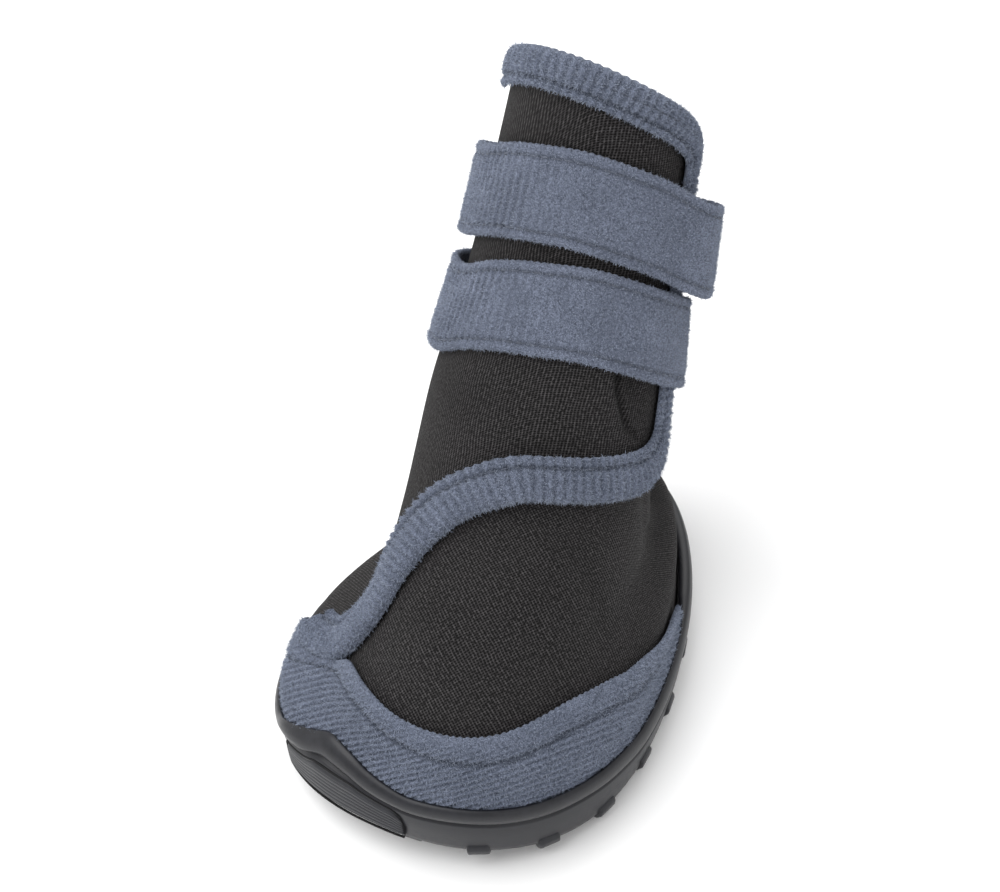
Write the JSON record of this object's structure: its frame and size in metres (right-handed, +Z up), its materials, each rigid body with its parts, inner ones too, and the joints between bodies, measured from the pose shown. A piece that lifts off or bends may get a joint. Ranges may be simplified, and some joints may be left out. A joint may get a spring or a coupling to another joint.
{
  "type": "dog shoe",
  "caption": "Soft ankle-high dog shoe: moulded rubber cup sole with claw lugs, knitted foam upper with a front flap, fleece edging and two hook-and-loop straps.",
  "frame": {"origin": "on the floor, at the middle of the bottom face of the middle lug, on the foot's centre plane", "axes": "+Z up, toe toward -Y, the flap's closing edge on +X"},
  "size_m": [0.0844, 0.1283, 0.1376],
  "materials": {
    "rubber_sole": "matt moulded rubber",
    "rubber_insert": "matt moulded rubber, finely ribbed",
    "insole_cloth": "knitted cloth over foam",
    "neoprene": "fine jersey knit over foam",
    "fleece_binding": "brushed cross-ribbed tape",
    "fleece_rand": "brushed diagonally ribbed tape",
    "loop_strap": "brushed loop tape, stitched along both edges"
  },
  "bodies": {
    "root": {"sole": "rubber_sole", "toe_bumper": "rubber_insert", "insole": "insole_cloth", "upper": "neoprene", "front_flap": "neoprene", "flap_binding": "fleece_binding", "collar_binding": "fleece_binding", "toe_rand": "fleece_rand", "strap_upper": "loop_strap", "strap_lower": "loop_strap"}
  },
  "joints": []
}
